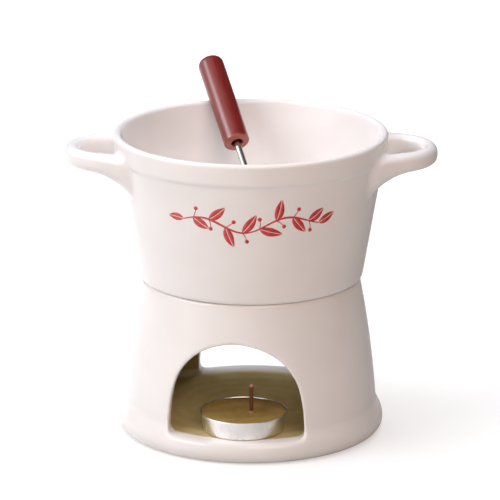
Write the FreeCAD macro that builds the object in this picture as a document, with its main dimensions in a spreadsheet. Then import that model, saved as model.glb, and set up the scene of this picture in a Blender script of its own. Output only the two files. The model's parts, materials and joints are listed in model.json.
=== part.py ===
import FreeCAD, Part
import math
import os
import re
import Sketcher
from FreeCAD import Vector

# Chocolate fondue set, millimetres.  A glazed ceramic pot with two loop handles stands
# on a ceramic stand with two opposite arches.  A tealight stands on the floor of the
# stand, and one fork leans over the rim of the pot.
# Frame: +Z up, origin at the centre of the stand's foot on the table, the front of the
# pot faces -Y and its two handles lie along X.

TINY = 0.02

doc = FreeCAD.newDocument("fondue_pot_set")
sizes = doc.addObject("Spreadsheet::Sheet", "sizes")

SIZES = {
    # stand: foot, wall, floor
    "stand_height": 69.2,
    "foot_radius": 58.5,
    "foot_under_round": 4.6,
    "foot_over_round": 10.4,
    "shoulder_height": 8.8,
    "neck_radius": 55.4,
    "neck_height": 13.5,
    "neck_round": 4.0,
    "stand_top_radius": 47.9,
    "wall_bow_radius": 428.0,
    "stand_wall": 5.5,
    "stand_rim_round": 1.2,
    "floor_height": 9.4,
    "floor_thickness": 5.4,
    "floor_round": 3.0,
    "base_ring_width": 7.5,
    # stand: the two arches
    "arch_half_width": 29.6,
    "arch_height": 42.4,
    "arch_side_radius": 80.0,
    "arch_corner_round": 2.4,
    "arch_turn": -8.0,
    # pot: body
    "pot_height": 65.3,
    "pot_base_radius": 49.0,
    "pot_base_round": 2.5,
    "pot_wall_top_radius": 60.05,
    "band_height": 10.4,
    "band_proud": 1.2,
    "band_edge_rise": 1.6,
    "band_edge_round": 1.7,
    "rim_proud": 0.15,
    "lip_thickness": 3.2,
    "lip_round": 1.55,
    "pot_base_wall": 4.2,
    "pot_floor_thickness": 5.0,
    "pot_floor_round": 8.0,
    # pot: locating ring under the floor
    "seat_clearance": 1.0,
    "seat_ring_height": 2.5,
    "seat_ring_width": 4.0,
    "seat_recess_depth": 0.8,
    # pot: loop handles
    "handle_reach": 81.6,
    "handle_half_width": 22.0,
    "handle_bar_width": 7.0,
    "handle_thickness": 8.4,
    "handle_round": 3.3,
    "handle_drop": 9.9,
    "handle_root_round": 4.0,
    "handle_root_share": 0.2,
    # tealight
    "cup_rim_radius": 19.2,
    "cup_base_radius": 17.5,
    "cup_height": 8.5,
    "cup_foil": 0.4,
    "cup_lip_width": 0.7,
    "cup_lip_height": 0.6,
    "cup_base_round": 0.8,
    "wax_gap": 0.15,
    "wax_below_rim": 0.7,
    "wick_radius": 0.95,
    "wick_above_wax": 12.6,
    "wick_offset": 3.5,
    "wick_gap": 0.05,
    "wax_collar_radius": 2.1,
    "wax_collar_height": 1.1,
    "sustainer_radius": 6.0,
    "sustainer_sheet": 0.4,
    "sustainer_neck_height": 3.0,
    "sustainer_neck_wall": 0.4,
    "tealight_x": -3.35,
    "tealight_y": -35.2,
    # fork
    "fork_handle_radius": 5.75,
    "fork_handle_length": 47.8,
    "fork_handle_end_round": 3.0,
    "fork_handle_mouth_round": 0.8,
    "fork_mouth_radius": 2.6,
    "fork_mouth_depth": 5.0,
    "fork_rod_radius": 1.5,
    "fork_rod_gap": 0.02,
    "fork_rod_insert": 28.0,
    "fork_rod_length": 52.0,
    "fork_head_length": 23.5,
    "fork_head_overlap": 3.0,
    "fork_head_neck_half_width": 1.2,
    "fork_head_shoulder": 5.0,
    "fork_head_half_width": 4.6,
    "fork_head_thickness": 1.8,
    "fork_tine_width": 2.0,
    "fork_tine_length": 15.5,
    "fork_tine_point": 4.0,
    "fork_rest_angle": -14.9,
    "fork_turn": 19.3,
    "fork_slope": 37.5,
    "fork_rest_gap": 0.3,
}

# Sizes and places that follow from the sizes above.
DERIVED = {
    "rim_height": "stand_height + pot_height",
    "stand_top_bore": "stand_top_radius - stand_wall",
    "chamber_low_radius": "neck_radius - stand_wall",
    "base_contact_radius": "foot_radius - foot_under_round",
    "base_recess_radius": "base_contact_radius - base_ring_width",
    "shoulder_radius": "foot_radius - foot_over_round + sqrt(foot_over_round ^ 2 - (shoulder_height"
                       " - foot_under_round) ^ 2)",
    "arch_span": "arch_side_radius - arch_half_width",
    "arch_rise": "arch_height - arch_corner_round",
    "arch_crown_radius": "(arch_side_radius ^ 2 - arch_span ^ 2 - arch_rise ^ 2)"
                         " / (2 * (arch_side_radius - arch_rise))",
    "arch_crown_drop": "arch_rise - arch_crown_radius",
    "arch_stretch": "arch_crown_radius / sqrt(arch_span ^ 2 + arch_crown_drop ^ 2)",
    "arch_haunch_x": "arch_span * arch_stretch",
    "arch_spring_height": "floor_height + arch_corner_round",
    "arch_haunch_height": "arch_spring_height + arch_crown_drop * (1 + arch_stretch)",
    "band_low_height": "rim_height - band_height",
    "pot_wall_slope": "(pot_wall_top_radius - pot_base_radius) / pot_height",
    "pot_neck_radius": "pot_wall_top_radius - pot_wall_slope * band_height",
    "band_low_radius": "pot_neck_radius + band_proud",
    "rim_radius": "pot_wall_top_radius + rim_proud",
    "rim_bore": "rim_radius - lip_thickness",
    "pot_base_bore": "pot_base_radius - pot_base_wall",
    "pot_floor_height": "stand_height + pot_floor_thickness",
    "seat_ring_radius": "stand_top_bore - seat_clearance",
    "seat_ring_bore": "seat_ring_radius - seat_ring_width",
    "handle_centre": "handle_reach - handle_half_width",
    "handle_hole_radius": "handle_half_width - handle_bar_width",
    "handle_under_height": "rim_height - handle_drop - handle_thickness / 2",
    "handle_root_fit": "min(handle_root_round; handle_root_share * (handle_reach - rim_radius))",
    "cup_wall_height": "cup_height - cup_lip_height",
    "cup_wall_top_radius": "cup_rim_radius - cup_lip_width",
    "cup_slope": "(cup_wall_top_radius - cup_base_radius) / cup_wall_height",
    "wax_top": "cup_height - wax_below_rim",
    "wax_low_radius": "cup_base_radius - cup_foil - wax_gap",
    "wax_top_radius": "wax_low_radius + cup_slope * (wax_top - cup_foil)",
    "wick_bore": "wick_radius + wick_gap",
    "sustainer_neck_radius": "wick_bore + sustainer_neck_wall",
    "fork_bore": "fork_rod_radius + fork_rod_gap",
    "fork_reach": "fork_rod_length + fork_head_length",
    "fork_slot_half_width": "fork_head_half_width - fork_tine_width",
    "fork_slot_height": "fork_reach - fork_tine_length",
    "fork_lean_x": "-sin(fork_slope) * sin(fork_rest_angle)",
    "fork_lean_y": "-sin(fork_slope) * cos(fork_rest_angle)",
    "fork_lean_z": "cos(fork_slope) * cos(fork_turn + fork_rest_angle)",
    "fork_lift": "(fork_handle_radius + lip_round + fork_rest_gap)"
                 " / sqrt(fork_lean_x ^ 2 + fork_lean_y ^ 2 + fork_lean_z ^ 2)",
    "fork_over_rim_x": "(rim_bore + lip_round) * sin(fork_rest_angle) + fork_lift * fork_lean_x",
    "fork_over_rim_y": "(rim_bore + lip_round) * cos(fork_rest_angle) + fork_lift * fork_lean_y",
    "fork_over_rim_z": "rim_height - lip_round + fork_lift * fork_lean_z",
    "fork_mouth_z": "pot_floor_height + fork_rest_gap + fork_reach * sin(fork_slope)"
                    " + fork_head_thickness / 2 * cos(fork_slope)",
    "fork_mouth_run": "(fork_over_rim_z - fork_mouth_z) / tan(fork_slope)",
    "fork_mouth_x": "fork_over_rim_x + fork_mouth_run * sin(fork_turn)",
    "fork_mouth_y": "fork_over_rim_y - fork_mouth_run * cos(fork_turn)",
}


def fill_sheet():
    """Give every size and every derived value a row of its own with its name."""
    cells = list(SIZES.items()) + [(name, "=" + formula) for name, formula in DERIVED.items()]
    for row, cell in enumerate(cells, start=1):
        sizes.set(f"A{row}", cell[0].replace("_", " "))
        sizes.setAlias(f"B{row}", cell[0])
    for row, cell in enumerate(cells, start=1):
        sizes.set(f"B{row}", str(cell[1]))
    doc.recompute()


def bound(expression):
    """The expression with each name read from the sheet, as another object writes it."""
    words = sorted(set(SIZES) | set(DERIVED), key=len, reverse=True)
    pattern = re.compile(r"\b(" + "|".join(words) + r")\b")
    return pattern.sub(r"sizes.\1", expression)


def value(expression):
    """The number that an expression of sheet names has now."""
    return float(sizes.evalExpression(bound(expression)))


def origin_plane(body, role):
    """The body's own origin plane with this role."""
    return next(item for item in body.Origin.OriginFeatures if item.Role == role)


def new_body(label):
    """A body that becomes the node with this label."""
    body = doc.addObject("PartDesign::Body", label)
    body.Label = label
    return body


def new_sketch(body, name, role="XZ_Plane", **offsets):
    """A sketch on one of the body's origin planes, moved in it or off it by expressions."""
    sketch = body.newObject("Sketcher::SketchObject", name)
    sketch.AttachmentSupport = [(origin_plane(body, role), "")]
    sketch.MapMode = "FlatFace"
    for axis, expression in offsets.items():
        sketch.setExpression("AttachmentOffset.Base." + axis, bound(expression))
    return sketch


def bind(sketch, constraint, expression):
    """Add a constraint whose value follows an expression of sheet names."""
    number = sketch.addConstraint(Sketcher.Constraint(*constraint, value(expression)))
    sketch.setExpression(f"Constraints[{number}]", bound(expression))


def pin(sketch, edge, end, place):
    """Hold one end of an edge at a place given as two expressions."""
    for kind, axis, expression in (("DistanceX", -2, place[0]), ("DistanceY", -1, place[1])):
        if expression == "0":
            sketch.addConstraint(Sketcher.Constraint("PointOnObject", edge, end, axis))
        else:
            bind(sketch, (kind, -1, 1, edge, end), expression)


def outline(sketch, corners):
    """Closed outline.  Each corner is (x, y) or (x, y, radius, side): the radius makes the
    edge that starts there an arc whose centre lies on that side of the direction of travel."""
    points = [Vector(value(corner[0]), value(corner[1]), 0) for corner in corners]
    ends = []
    for number, corner in enumerate(corners):
        start, finish = points[number], points[(number + 1) % len(points)]
        if len(corner) == 2:
            edge = sketch.addGeometry(Part.LineSegment(start, finish))
            ends.append((edge, 1, 2))
            continue
        radius, side = value(corner[2]), corner[3]
        chord = finish - start
        height = math.sqrt(radius ** 2 - chord.Length ** 2 / 4)
        normal = Vector(-chord.y, chord.x, 0).normalize()
        centre = (start + finish) / 2 + normal * (height if side == "left" else -height)
        first, last = (start, finish) if side == "left" else (finish, start)
        circle = Part.Circle(centre, Vector(0, 0, 1), radius)
        edge = sketch.addGeometry(Part.ArcOfCircle(circle, circle.parameter(first), circle.parameter(last)))
        ends.append((edge, 1, 2) if side == "left" else (edge, 2, 1))
        bind(sketch, ("Radius", edge), corner[2])
    for number, (edge, start_end, finish_end) in enumerate(ends):
        following, following_end, _ = ends[(number + 1) % len(ends)]
        sketch.addConstraint(Sketcher.Constraint("Coincident", edge, finish_end, following, following_end))
        pin(sketch, edge, start_end, corners[number])


def circle(sketch, x, y, radius):
    """A whole circle with its centre at (x, y)."""
    start = Vector(value(x), value(y), 0)
    edge = sketch.addGeometry(Part.Circle(start, Vector(0, 0, 1), value(radius)))
    pin(sketch, edge, 3, (x, y))
    bind(sketch, ("Radius", edge), radius)


def turned(body, kind, name, sketch):
    """A full turn of a sketch round its own vertical axis, added or cut."""
    feature = body.newObject("PartDesign::" + kind, name)
    feature.Profile = sketch
    feature.ReferenceAxis = (sketch, ["V_Axis"])
    feature.Angle = 360
    doc.recompute()
    return feature


def rounded(body, name, wanted, radius):
    """Round the edges of the body's last feature that the wanted test picks."""
    base = body.Tip
    edges = [f"Edge{number}" for number, edge in enumerate(base.Shape.Edges, start=1) if wanted(edge)]
    feature = body.newObject("PartDesign::Fillet", name)
    feature.Base = (base, edges)
    feature.setExpression("Radius", bound(radius))
    doc.recompute()
    return feature


def ring_at(radius, height):
    """A test for full circular edges round the vertical axis, at a radius and a height."""
    def wanted(edge):
        box = edge.BoundBox
        flat = box.ZLength < TINY and abs(box.Center.z - value(height)) < TINY
        return flat and abs(box.XLength / 2 - value(radius)) < TINY and abs(box.YLength / 2 - value(radius)) < TINY
    return wanted


def flat_edge(edge):
    """A test for edges that lie in a horizontal plane."""
    return edge.BoundBox.ZLength < TINY


def make_stand():
    """Ceramic stand: a foot like a saucer, a bowed wall, a floor and two opposite arches."""
    body = new_body("stand")
    section = new_sketch(body, "stand_section")
    recess_top = "floor_height - floor_thickness"
    outline(section, [
        ("0", recess_top),
        ("base_recess_radius", recess_top),
        ("base_recess_radius", "0"),
        ("base_contact_radius", "0", "foot_under_round", "left"),
        ("foot_radius", "foot_under_round", "foot_over_round", "left"),
        ("shoulder_radius", "shoulder_height"),
        ("neck_radius", "neck_height", "wall_bow_radius", "left"),
        ("stand_top_radius", "stand_height"),
        ("stand_top_bore", "stand_height"),
        ("chamber_low_radius", "floor_height"),
        ("0", "floor_height"),
    ])
    turned(body, "Revolution", "stand_turned", section)
    rounded(body, "neck_rounded", ring_at("neck_radius", "neck_height"), "neck_round")
    rounded(body, "floor_rounded", ring_at("chamber_low_radius", "floor_height"), "floor_round")
    for radius in ("stand_top_radius", "stand_top_bore"):
        rounded(body, radius + "_rounded", ring_at(radius, "stand_height"), "stand_rim_round")
    arch = new_sketch(body, "arch_outline")
    outline(arch, [
        ("arch_half_width - arch_corner_round", "floor_height", "arch_corner_round", "left"),
        ("arch_half_width", "arch_spring_height", "arch_side_radius", "left"),
        ("arch_haunch_x", "arch_haunch_height", "arch_crown_radius", "left"),
        ("0", "floor_height + arch_height", "arch_crown_radius", "left"),
        ("-arch_haunch_x", "arch_haunch_height", "arch_side_radius", "left"),
        ("-arch_half_width", "arch_spring_height", "arch_corner_round", "left"),
        ("arch_corner_round - arch_half_width", "floor_height"),
    ])
    cut = body.newObject("PartDesign::Pocket", "arches_cut")
    cut.Profile = arch
    cut.SideType = "Symmetric"
    cut.Type = "ThroughAll"
    doc.recompute()
    body.setExpression("Placement", turn_about_z("sizes.arch_turn"))
    return body


def turn_about_z(angle):
    """A placement expression: a turn about the vertical axis."""
    return f"placement(vector(0; 0; 0); rotation(vector(0; 0; 1); {angle}))"


def make_pot():
    """Ceramic pot: a cone with a band under its rim, two loop handles, a locating ring below."""
    body = new_body("pot")
    loops = new_sketch(body, "handle_outline", "XY_Plane", z="handle_under_height")
    outline(loops, [
        ("handle_centre", "-handle_half_width", "handle_half_width", "left"),
        ("handle_reach", "0", "handle_half_width", "left"),
        ("handle_centre", "handle_half_width"),
        ("-handle_centre", "handle_half_width", "handle_half_width", "left"),
        ("-handle_reach", "0", "handle_half_width", "left"),
        ("-handle_centre", "-handle_half_width"),
    ])
    circle(loops, "handle_centre", "0", "handle_hole_radius")
    circle(loops, "-handle_centre", "0", "handle_hole_radius")
    plate = body.newObject("PartDesign::Pad", "handles_padded")
    plate.Profile = loops
    plate.setExpression("Length", bound("handle_thickness"))
    doc.recompute()
    rounded(body, "handles_rounded", flat_edge, "handle_round")
    section = new_sketch(body, "pot_section")
    outline(section, [
        ("0", "stand_height + seat_recess_depth"),
        ("seat_ring_bore", "stand_height + seat_recess_depth"),
        ("seat_ring_bore", "stand_height - seat_ring_height"),
        ("seat_ring_radius", "stand_height - seat_ring_height"),
        ("seat_ring_radius", "stand_height"),
        ("pot_base_radius", "stand_height"),
        ("pot_wall_top_radius", "rim_height"),
        ("0", "rim_height"),
    ])
    turned(body, "Revolution", "pot_turned", section)
    rounded(body, "handle_roots_rounded", handle_root_edge, "handle_root_fit")
    rounded(body, "pot_base_rounded", ring_at("pot_base_radius", "stand_height"), "pot_base_round")
    band = new_sketch(body, "band_section")
    outline(band, [
        ("pot_neck_radius", "band_low_height", "band_edge_round", "left"),
        ("band_low_radius", "band_low_height + band_edge_rise"),
        ("rim_radius", "rim_height"),
        ("rim_bore", "rim_height"),
        ("rim_bore", "band_low_height"),
    ])
    turned(body, "Revolution", "band_turned", band)
    hollow = new_sketch(body, "hollow_section")
    outline(hollow, [
        ("0", "pot_floor_height"),
        ("pot_base_bore", "pot_floor_height"),
        ("rim_bore", "rim_height"),
        ("rim_bore", "rim_height + lip_thickness"),
        ("0", "rim_height + lip_thickness"),
    ])
    turned(body, "Groove", "pot_hollowed", hollow)
    rounded(body, "pot_floor_rounded", ring_at("pot_base_bore", "pot_floor_height"), "pot_floor_round")
    rounded(body, "lip_inside_rounded", ring_at("rim_bore", "rim_height"), "lip_round")
    rounded(body, "lip_outside_rounded", ring_at("rim_radius", "rim_height"), "lip_round")
    return body


def handle_root_edge(edge):
    """A test for the edges where the loop handles grow out of the wall of the pot."""
    middle = edge.valueAt((edge.FirstParameter + edge.LastParameter) / 2)
    lowest = value("handle_under_height") - TINY
    highest = value("handle_under_height + handle_thickness") + TINY
    wall = value("pot_base_radius") + value("pot_wall_slope") * (middle.z - value("stand_height"))
    on_wall = abs(math.hypot(middle.x, middle.y) - wall) < TINY
    return on_wall and lowest < middle.z < highest and edge.Length < value("handle_half_width")


def tealight_place():
    """A placement expression: the tealight's own axis on the floor of the stand."""
    return "placement(vector(sizes.tealight_x; sizes.tealight_y; sizes.floor_height); rotation(0; 0; 0))"


def make_cup():
    """Pressed aluminium foil cup of the tealight, with a rolled lip."""
    body = new_body("tealight_cup")
    section = new_sketch(body, "cup_section")
    outline(section, [
        ("0", "0"),
        ("cup_base_radius", "0"),
        ("cup_wall_top_radius", "cup_wall_height"),
        ("cup_rim_radius", "cup_wall_height"),
        ("cup_rim_radius", "cup_height"),
        ("cup_wall_top_radius - cup_foil", "cup_height"),
        ("cup_wall_top_radius - cup_foil", "cup_wall_height"),
        ("cup_base_radius - cup_foil", "cup_foil"),
        ("0", "cup_foil"),
    ])
    turned(body, "Revolution", "cup_turned", section)
    rounded(body, "cup_base_rounded", ring_at("cup_base_radius", "0"), "cup_base_round")
    body.setExpression("Placement", tealight_place())
    return body


def make_wax():
    """Wax of the tealight, cast in the cup round the wick and its metal foot."""
    body = new_body("tealight_wax")
    section = new_sketch(body, "wax_section")
    outline(section, [
        ("0", "cup_foil"),
        ("wax_low_radius", "cup_foil"),
        ("wax_top_radius", "wax_top"),
        ("0", "wax_top"),
    ])
    turned(body, "Revolution", "wax_turned", section)
    collar = new_sketch(body, "collar_section", x="wick_offset")
    outline(collar, [
        ("0", "wax_top - wax_collar_height"),
        ("wax_collar_radius", "wax_top - wax_collar_height"),
        ("wax_collar_radius", "wax_top"),
        ("wick_bore + wick_gap", "wax_top + wax_collar_height"),
        ("0", "wax_top + wax_collar_height"),
    ])
    turned(body, "Revolution", "collar_turned", collar)
    bore = new_sketch(body, "bore_section", x="wick_offset")
    outline(bore, [
        ("0", "0"),
        ("sustainer_radius + wax_gap", "0"),
        ("sustainer_radius + wax_gap", "cup_foil + sustainer_sheet + wax_gap"),
        ("sustainer_neck_radius + wax_gap", "cup_foil + sustainer_sheet + wax_gap"),
        ("sustainer_neck_radius + wax_gap", "cup_foil + sustainer_neck_height + wax_gap"),
        ("wick_bore", "cup_foil + sustainer_neck_height + wax_gap"),
        ("wick_bore", "cup_height + wax_collar_height"),
        ("0", "cup_height + wax_collar_height"),
    ])
    turned(body, "Groove", "wick_bored", bore)
    body.setExpression("Placement", tealight_place())
    return body


def make_sustainer():
    """Tinned steel foot that holds the wick upright on the floor of the cup."""
    body = new_body("wick_sustainer")
    section = new_sketch(body, "sustainer_section", x="wick_offset")
    outline(section, [
        ("wick_bore", "cup_foil"),
        ("sustainer_radius", "cup_foil"),
        ("sustainer_radius", "cup_foil + sustainer_sheet"),
        ("sustainer_neck_radius", "cup_foil + sustainer_sheet"),
        ("sustainer_neck_radius", "cup_foil + sustainer_neck_height"),
        ("wick_bore", "cup_foil + sustainer_neck_height"),
    ])
    turned(body, "Revolution", "sustainer_turned", section)
    body.setExpression("Placement", tealight_place())
    return body


def make_wick():
    """Braided cotton wick, standing through the metal foot and the wax."""
    body = new_body("tealight_wick")
    section = new_sketch(body, "wick_outline", "XY_Plane", z="cup_foil")
    circle(section, "wick_offset", "0", "wick_radius")
    rod = body.newObject("PartDesign::Pad", "wick_padded")
    rod.Profile = section
    rod.setExpression("Length", bound("wax_top - cup_foil + wick_above_wax"))
    doc.recompute()
    body.setExpression("Placement", tealight_place())
    return body


def fork_place():
    """A placement expression: the mouth of the fork's handle, its own Z up along the handle."""
    return ("placement(vector(sizes.fork_mouth_x; sizes.fork_mouth_y; sizes.fork_mouth_z);"
            " rotation(vector(0; 0; 1); sizes.fork_turn) * rotation(vector(1; 0; 0); sizes.fork_slope - 90))")


def make_fork_handle():
    """Turned and lacquered wooden handle of the fork, bored for the rod."""
    body = new_body("fork_handle")
    section = new_sketch(body, "grip_section")
    outline(section, [
        ("fork_mouth_radius", "0"),
        ("fork_handle_radius", "0"),
        ("fork_handle_radius", "fork_handle_length"),
        ("0", "fork_handle_length"),
        ("0", "fork_rod_insert"),
        ("fork_bore", "fork_rod_insert"),
        ("fork_bore", "fork_mouth_depth"),
        ("fork_mouth_radius", "fork_mouth_depth"),
    ])
    turned(body, "Revolution", "grip_turned", section)
    end = ring_at("fork_handle_radius", "fork_handle_length")
    rounded(body, "grip_end_rounded", end, "fork_handle_end_round")
    rounded(body, "mouth_rounded", ring_at("fork_handle_radius", "0"), "fork_handle_mouth_round")
    body.setExpression("Placement", fork_place())
    return body


def make_fork_shaft():
    """Steel rod of the fork, flattened and slit into two tines at its end."""
    body = new_body("fork_shaft")
    ring = new_sketch(body, "rod_outline", "XY_Plane", z="-fork_rod_length")
    circle(ring, "0", "0", "fork_rod_radius")
    rod = body.newObject("PartDesign::Pad", "rod_padded")
    rod.Profile = ring
    rod.setExpression("Length", bound("fork_rod_length + fork_rod_insert"))
    doc.recompute()
    head = new_sketch(body, "head_outline")
    point_height = "-(fork_reach - fork_tine_point)"
    right = [
        ("fork_slot_half_width", "-fork_slot_height - fork_slot_half_width"),
        ("fork_slot_half_width", point_height),
        ("fork_slot_half_width + fork_tine_width / 2", "-fork_reach"),
        ("fork_head_half_width", point_height),
        ("fork_head_half_width", "-fork_rod_length - fork_head_shoulder"),
        ("fork_head_neck_half_width", "-fork_rod_length + fork_head_overlap"),
    ]
    left = [("-(" + x + ")", z) for x, z in reversed(right[1:])]
    slot = [
        ("-fork_slot_half_width", right[0][1], "fork_slot_half_width", "right"),
        ("0", "-fork_slot_height", "fork_slot_half_width", "right"),
    ]
    outline(head, right + left + slot)
    blade = body.newObject("PartDesign::Pad", "head_padded")
    blade.Profile = head
    blade.SideType = "Symmetric"
    blade.setExpression("Length", bound("fork_head_thickness"))
    doc.recompute()
    body.setExpression("Placement", fork_place())
    return body


fill_sheet()
pieces = [
    make_stand(),
    make_pot(),
    make_cup(),
    make_wax(),
    make_sustainer(),
    make_wick(),
    make_fork_handle(),
    make_fork_shaft(),
]
doc.recompute()

for item in doc.Objects:
    if any(state in item.State for state in ("Invalid", "Error")):
        raise RuntimeError(f"{item.Label} did not build: {item.State}")
for piece in pieces:
    if piece.Shape.isNull() or not piece.Shape.isValid() or len(piece.Shape.Solids) != 1:
        raise RuntimeError(f"{piece.Label} is not one valid solid")

os.makedirs("parts", exist_ok=True)
for piece in pieces:
    piece.Shape.exportStep(f"parts/{piece.Label}.step")
    box = piece.Shape.BoundBox
    print(f"{piece.Label}: {piece.Shape.Volume:.1f} mm3, z {box.ZMin:.2f} to {box.ZMax:.2f},"
          f" x {box.XMin:.2f} to {box.XMax:.2f}, y {box.YMin:.2f} to {box.YMax:.2f}")
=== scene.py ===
# %% [markdown]
# # A ceramic fondue set, piece by piece
# A small glazed pot for melted chocolate stands on a ceramic stand. A tealight burns inside the
# stand and a dipping fork leans over the rim. The construction model gives every piece its place
# and size; this lesson gives the pieces their soft edges, their glaze and their light.

# %% Load the construction model
import json
import math

import bmesh
import bpy
import numpy as np
from mathutils import Matrix, Vector


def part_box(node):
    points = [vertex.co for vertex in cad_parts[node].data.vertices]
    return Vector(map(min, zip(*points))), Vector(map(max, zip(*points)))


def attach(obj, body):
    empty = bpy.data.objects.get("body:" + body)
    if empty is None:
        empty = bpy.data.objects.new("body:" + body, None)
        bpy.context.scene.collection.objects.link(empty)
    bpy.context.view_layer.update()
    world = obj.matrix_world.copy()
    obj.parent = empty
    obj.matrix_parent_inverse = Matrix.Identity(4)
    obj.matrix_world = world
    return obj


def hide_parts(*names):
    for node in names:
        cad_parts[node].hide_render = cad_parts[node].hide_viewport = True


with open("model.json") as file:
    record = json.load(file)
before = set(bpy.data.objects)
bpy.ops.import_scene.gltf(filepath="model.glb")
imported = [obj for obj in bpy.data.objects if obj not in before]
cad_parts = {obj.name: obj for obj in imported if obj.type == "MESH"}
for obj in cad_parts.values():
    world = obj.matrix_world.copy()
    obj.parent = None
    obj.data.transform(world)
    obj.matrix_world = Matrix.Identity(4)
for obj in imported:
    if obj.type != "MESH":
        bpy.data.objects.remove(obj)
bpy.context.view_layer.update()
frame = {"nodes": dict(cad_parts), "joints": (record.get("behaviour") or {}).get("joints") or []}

MM = 0.001

# %% [markdown]
# ## Small helpers for shaders
# Paint charts and screens give colours as sRGB hex values, while a renderer adds up light in
# linear values, so one function turns the first into the second. A second one adds a node of any
# kind, with its settings, a ramp's stops and its inputs. An input is either a value or comes from
# another node, so a material reads from top to bottom like a recipe.

# %% Colours and shader nodes
def linear(hex_colour):
    """The linear RGBA colour of an sRGB hex value such as #E0D0C0."""
    parts = [int(hex_colour[start:start + 2], 16) / 255 for start in (1, 3, 5)]
    return [part / 12.92 if part <= 0.04045 else ((part + 0.055) / 1.055) ** 2.4 for part in parts] + [1.0]


def set_inputs(tree, node, inputs):
    """Give a node's inputs a value each, or a link to another node's output or first output."""
    for name, value in inputs.items():
        if isinstance(value, bpy.types.Node):
            value = next(output for output in value.outputs if output.enabled)
        if isinstance(value, bpy.types.NodeSocket):
            tree.links.new(value, node.inputs[name])
        else:
            node.inputs[name].default_value = value


def add_node(tree, kind, inputs=None, stops=(), **settings):
    """Add a node with its settings, a ramp's two (position, hex colour) stops and its inputs."""
    node = tree.nodes.new("ShaderNode" + kind)
    for name, value in settings.items():
        setattr(node, name, value)
    for number, (position, colour) in enumerate(stops):
        node.color_ramp.elements[number].position = position
        node.color_ramp.elements[number].color = linear(colour)
    set_inputs(tree, node, inputs or {})
    return node


def new_material(name):
    """A material with one Principled shader: gives the material, its node tree and the shader."""
    material = bpy.data.materials.new(name)
    material.use_nodes = True
    tree = material.node_tree
    tree.nodes.clear()
    shader = add_node(tree, "BsdfPrincipled")
    add_node(tree, "OutputMaterial", {"Surface": shader})
    return material, tree, shader


print("helpers for colours and nodes are ready; mid grey is", round(linear("#808080")[0], 3))

# %% [markdown]
# ## Patterns at their real size
# No real surface has one flat tone: a glaze is cloudy, steel has drawn lines and wood has fibres.
# These could be painted pictures. A noise texture in object coordinates needs no picture and
# keeps its size in millimetres on every piece, so it is used throughout. A ramp node then turns
# it into close tones, and a Map Range node into a range of roughness.

# %% Pattern sizes and finishes
def per_mm(size):
    """The scale of a noise texture whose features are this many millimetres across."""
    return 1 / (size * MM)


def dress(piece, material):
    """Give a piece one material in place of all others."""
    piece.data.materials.clear()
    piece.data.materials.append(material)
    print(piece.name, "is made of", material.name)


print("a pattern of 2 mm has scale", per_mm(2))

# %% [markdown]
# ## The camera
# Tableware is shown best from a few steps back through a long lens, because the upright lines of a
# pot then stay nearly parallel. A parallel camera would do that too, but it would make the rim's
# ellipse and the foot's equally flat. So this is a long lens at nearly 1.8 metres, which looks
# down by 16 degrees and shows the inside of the pot over its rim.

# %% Camera
CAMERA_DISTANCE = 1761 * MM
CAMERA_SLOPE = math.radians(16.0)
CAMERA_AIM = Vector((-0.44, 0, 80.3)) * MM
LENS = 288
SENSOR_WIDTH = 36

camera_data = bpy.data.cameras.new("long_lens")
camera_data.lens = LENS
camera_data.sensor_width = SENSOR_WIDTH
camera = bpy.data.objects.new("camera", camera_data)
bpy.context.scene.collection.objects.link(camera)
toward_camera = Vector((0, -math.cos(CAMERA_SLOPE), math.sin(CAMERA_SLOPE)))
camera.location = CAMERA_AIM + toward_camera * CAMERA_DISTANCE
camera.rotation_euler = (-toward_camera).to_track_quat("-Z", "Y").to_euler()
camera_data.clip_start = 0.1
camera_data.clip_end = 20
bpy.context.scene.camera = camera
print("camera", [round(value, 3) for value in camera.location])

# %% [markdown]
# ## Outlines with rounded corners
# Both ceramic pieces, the foil cup and the wooden grip are round, so each has one outline that goes
# round one axis. The outline could be drawn as a Bezier curve, but its handles hide the sizes.
# Here it is a short list of corners, each with the radius that rounds it off, as in a workshop
# drawing.

# %% Outlines
ARC_STEP = math.radians(8)


def rounded_outline(corners):
    """Points of an open outline whose corners are (radius, height, rounding) in millimetres."""
    points = []
    for number, (across, up, rounding) in enumerate(corners):
        here = Vector((across, up))
        if rounding == 0 or number in (0, len(corners) - 1):
            points.append(here)
            continue
        back = (Vector(corners[number - 1][:2]) - here).normalized()
        ahead = (Vector(corners[number + 1][:2]) - here).normalized()
        half = back.angle(ahead) / 2
        middle = here + (back + ahead).normalized() * (rounding / math.sin(half))
        first = here + back * (rounding / math.tan(half)) - middle
        last = here + ahead * (rounding / math.tan(half)) - middle
        sweep = first.angle_signed(last)
        steps = max(2, math.ceil(abs(sweep) / ARC_STEP))
        for step in range(steps + 1):
            turn = -sweep * step / steps
            points.append(middle + Vector((first.x * math.cos(turn) - first.y * math.sin(turn),
                                           first.x * math.sin(turn) + first.y * math.cos(turn))))
    return points


def bow(start, end, radius, count=14):
    """Corners on a wide arc from start to end that bulges away from the axis, ends left out."""
    first, last = Vector(start), Vector(end)
    chord = last - first
    away = Vector((chord.y, -chord.x)).normalized()
    depth = math.sqrt(radius ** 2 - (chord.length / 2) ** 2)
    middle = (first + last) / 2 - away * depth
    corners = []
    for step in range(1, count):
        ray = (first + chord * step / count - middle).normalized()
        corners.append((*(middle + ray * radius), 0))
    return corners


example = rounded_outline([(0, 0, 0), (5, 0, 1), (5, 5, 0)])
print("a square corner is rounded with", len(example) - 2, "points")

# %% [markdown]
# ## The lathe
# A potter and a wood turner let the piece go round and hold the tool still. Blender's Screw
# modifier does the same with an edge; the spin operator does it at once and leaves a plain mesh,
# which the cuts and joints that follow need. Faces are shaded smooth, because a turned surface
# has no facets.

# %% Lathe
TURN_STEPS = 240
WELD = 1e-7


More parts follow.
